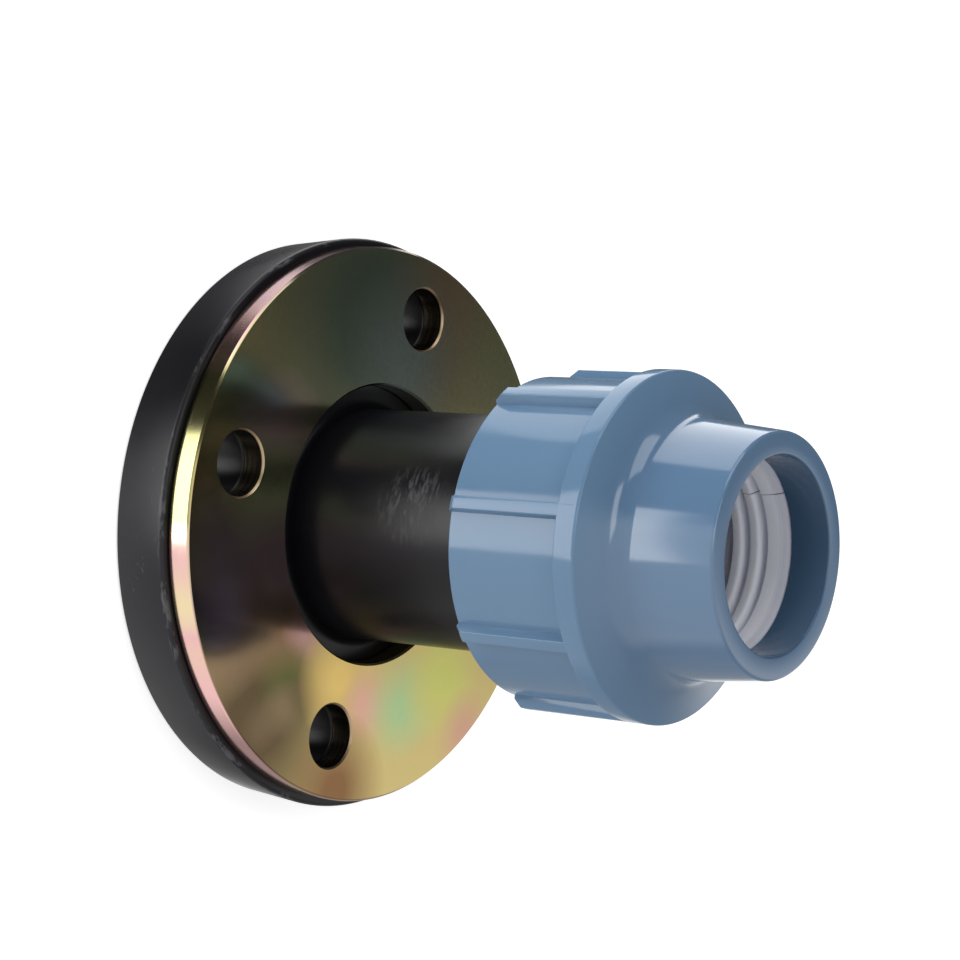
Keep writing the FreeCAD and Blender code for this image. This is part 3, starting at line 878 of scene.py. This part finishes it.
# Painted shade: the grooves and the nose are greyed.
groove_shade = math_node(tree, "MULTIPLY", past(tree, ring_radius, *GROOVE_START),
                      short_of(tree, ring_radius, *GROOVE_END))
height = add_node(tree, "ShaderNodeSeparateXYZ", Vector=ring_place).outputs["Z"]
bone = mix(tree, grain.outputs["Patches"], *BONE_TINTS)
bone = mix(tree, past(tree, height, *NOSE_START), bone, NOSE_PAINTED_SHADE)
tree.links.new(mix(tree, groove_shade, bone, GROOVE_PAINTED_SHADE), shader.inputs["Base Color"])
tree.links.new(spread(tree, grain.outputs["Patches"], 0.3, 0.7, 0.36, 0.46), shader.inputs["Roughness"])
bump(tree, shader, grain.outputs["Height"], 0.15, 0.0001)

# %% Finish of the seal
RUBBER_TINTS = ((0.012, 0.012, 0.012, 1), (0.02, 0.02, 0.02, 1))

rubber, tree, shader = new_finish("seal_rubber")
grain = use_group(tree, grain_tree, Grain_scale=1400.0)
tree.links.new(mix(tree, grain.outputs["Patches"], *RUBBER_TINTS), shader.inputs["Base Color"])
tree.links.new(spread(tree, grain.outputs["Patches"], 0.3, 0.7, 0.55, 0.7), shader.inputs["Roughness"])
bump(tree, shader, grain.outputs["Height"], 0.3, 0.0001)

# %% Run the trees and paint the pieces
THREAD_PITCH = 6.0
THREAD_DEPTH = 2.4
THREAD_SINK = 0.3
MALE_START = 93.0
MALE_TURNS = 3.5
FEMALE_TURNS = 4.5
WIDE = 3.4
NARROW = 1.5

run_tree(ribs, ring_tree, {"Count": RIB_COUNT, "First angle": math.radians(RIB_ANGLE), "Material": blue})
ridge_depth = THREAD_DEPTH + THREAD_SINK
male_radius = CORE_RADIUS + THREAD_DEPTH - ridge_depth / 2
female_radius = THREAD_RADIUS - THREAD_DEPTH + ridge_depth / 2
female_start = MALE_START - THREAD_PITCH / 2
threads = {}
for name, radius, turns, start, outer, inner, finish in (
    ("body_thread", male_radius, MALE_TURNS, MALE_START, NARROW, WIDE, black),
    ("nut_thread", female_radius, FEMALE_TURNS, female_start, WIDE, NARROW, blue),
):
    threads[name] = new_piece(name, [], [])
    run_tree(threads[name], thread_tree, {
        "Radius": radius * MM,
        "Pitch": THREAD_PITCH * MM,
        "Turns": turns,
        "Start height": start * MM,
        "Depth": ridge_depth * MM,
        "Outer width": outer * MM,
        "Inner width": inner * MM,
        "Material": finish,
    })
    shade(threads[name])
    radii = [vertex.co.xy.length / MM for vertex in threads[name].data.vertices]
    tops = [vertex.co.z / MM for vertex in threads[name].data.vertices]
    print(f"{name}: radius {min(radii):.2f} to {max(radii):.2f}, height {min(tops):.2f} to {max(tops):.2f}")


def paint(piece, finish):
    """Give a piece one finish."""
    piece.data.materials.clear()
    piece.data.materials.append(finish)


for piece, finish in ((body, black), (plate, zinc), (nut_shell, blue), (ring, white)):
    paint(piece, finish)
for node, finish in (("thrust_bush", black), ("seal_ring", rubber)):
    paint(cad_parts[node], finish)

# %% [markdown]
# ## Joining the pieces to the frame
# Each piece rides on the body that carries it, so that a pose moves it, and stands for the CAD node that it
# refines.

# %% Ride on the bodies and hide the CAD nodes they refine
for piece, carrier, node, slot in (
    (body, "adaptor_body", "moulded_body", "black_plastic"),
    (plate, "plate", "backing_plate", "zinc_plated_steel"),
    (nut_shell, "compression_nut", "nut", "blue_plastic"),
    (ring, "clamp_ring", "split_ring", "white_plastic"),
    (ribs, "compression_nut", None, "blue_plastic"),
    (threads["body_thread"], "adaptor_body", None, "black_plastic"),
    (threads["nut_thread"], "compression_nut", None, "blue_plastic"),
):
    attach(piece, carrier)
    if node:
        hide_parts(node)

# %% [markdown]
# ## Camera
# The photograph looks down at the mouth with the bore lying across the picture. The fitted place, aim and
# roll give that view, and the long lens keeps the perspective as weak as it is there.

# %% Place the camera
CAMERA_PLACE = Vector((0.1326, -0.5921, 0.5138))
CAMERA_AIM = Vector((-0.0082, -0.0280, 0.0800))
CAMERA_ROLL = math.radians(93.66)
CAMERA_LENS = 101.05
CAMERA_SENSOR = 36.0

camera = bpy.data.objects.new("camera", bpy.data.cameras.new("camera"))
camera.data.lens = CAMERA_LENS
camera.data.sensor_width = CAMERA_SENSOR
camera.location = CAMERA_PLACE
camera.rotation_euler = (CAMERA_AIM - CAMERA_PLACE).to_track_quat("-Z", "Y").to_euler()
camera.rotation_euler.rotate_axis("Z", CAMERA_ROLL)
bpy.context.scene.collection.objects.link(camera)
bpy.context.scene.camera = camera

# %% [markdown]
# ## Stage and light
# The floor is plain white paper that keeps the object's shadow. The photograph's highlights have crisp
# edges and lie low on the walls, so its lamps stood lower than the piece. Two flat soft lamps therefore
# stand below the level of the floor. The floor lets their light through, and stays out of the gloss, which
# shows the white surround and the lamps instead. A third lamp gives the soft top light, and a fourth in
# front of the mouth draws the streak on the nut's shoulder. Polished steel is as dark as what it mirrors,
# so the white surround has dark flags on one side, as a photographer would stand black cards there.

# %% Make the floor
FLOOR_DROP = 0.0002
FLOOR_HALF = 3.0
FLOOR_GLOW = 0.6
PAPER_WHITE = (0.85, 0.85, 0.85, 1)

floor_corners = [
    (x * FLOOR_HALF, y * FLOOR_HALF, -FLOOR_DROP)
    for x, y in ((-1, -1), (1, -1), (1, 1), (-1, 1))
]
floor_mesh = bpy.data.meshes.new("floor")
floor_mesh.from_pydata(floor_corners, [], [(0, 1, 2, 3)])
floor = bpy.data.objects.new("floor", floor_mesh)
bpy.context.scene.collection.objects.link(floor)
floor.visible_glossy = False
floor.visible_shadow = False
paper, tree, shader = new_finish("white_paper", Roughness=0.9, Specular_IOR_Level=0.0,
                                 Base_Color=PAPER_WHITE, Emission_Color=(1, 1, 1, 1))
seen = add_node(tree, "ShaderNodeLightPath").outputs["Is Camera Ray"]
tree.links.new(math_node(tree, "MULTIPLY", seen, FLOOR_GLOW), shader.inputs["Emission Strength"])
paint(floor, paper)

# %% Make the surround
ROOM_BELOW = 0.85
ROOM_ABOVE = 0.38
CORNER_GAIN = 0.5
FLAG_DARK = 0.09
FLAG_GREY = 0.35

world = bpy.data.worlds.new("surround")
world.use_nodes = True
bpy.context.scene.world = world
tree = world.node_tree
background = tree.nodes["Background"]
background.inputs["Color"].default_value = (1, 1, 1, 1)
rays = add_node(tree, "ShaderNodeLightPath")
direction = add_node(tree, "ShaderNodeTexCoord").outputs["Generated"]
along = add_node(tree, "ShaderNodeSeparateXYZ", Vector=direction)
near_corner = math_node(tree, "MULTIPLY", along.outputs["X"], along.outputs["Z"])
room = math_node(tree, "ADD", spread(tree, along.outputs["Z"], -0.1, 0.7, ROOM_BELOW, ROOM_ABOVE),
                 spread(tree, near_corner, 0.1, 0.45, 0.0, CORNER_GAIN))
far_corner = math_node(tree, "MULTIPLY", along.outputs["X"], along.outputs["Y"])
flags = math_node(tree, "MULTIPLY", spread(tree, along.outputs["X"], -0.22, -0.10, FLAG_DARK, 1.0),
                  spread(tree, far_corner, 0.05, 0.25, 1.0, FLAG_GREY))
mirrored = mix(tree, rays.outputs["Is Glossy Ray"], 1.0, flags, kind="FLOAT")
bent = math_node(tree, "MAXIMUM", rays.outputs["Is Glossy Ray"], rays.outputs["Is Transmission Ray"])
shown = math_node(tree, "MAXIMUM", rays.outputs["Is Camera Ray"], bent)
tree.links.new(mix(tree, shown, room, mirrored, kind="FLOAT"), background.inputs["Strength"])

# %% Make the lamps
def lamp(name, place, aim, size, radiance):
    """Add a rectangular soft lamp that shines from a place towards an aim, with this radiance."""
    light = bpy.data.lights.new(name, "AREA")
    light.shape = "RECTANGLE"
    light.size, light.size_y = size
    light.energy = radiance * math.pi * size[0] * size[1]
    holder = bpy.data.objects.new(name, light)
    holder.location = place
    holder.rotation_euler = (Vector(aim) - Vector(place)).to_track_quat("-Z", "Y").to_euler()
    holder.visible_camera = False
    bpy.context.scene.collection.objects.link(holder)


lamp("side_softbox", (0.045, -0.6, -0.29), (0.045, 0, -0.29), (0.46, 0.54), 3.9)
lamp("far_softbox", (-0.7, 0.1, -0.31), (0, 0.1, -0.31), (1.0, 0.52), 1.9)
lamp("top_softbox", (-0.75, -0.35, 0.45), (0, 0, 0.08), (0.6, 0.6), 1.9)
lamp("front_softbox", (-0.19, -0.42, 1.0), (0, -0.03, 0.13), (0.5, 0.34), 2.5)

# %% Finish
scene = bpy.context.scene
scene.view_settings.view_transform = "Standard"
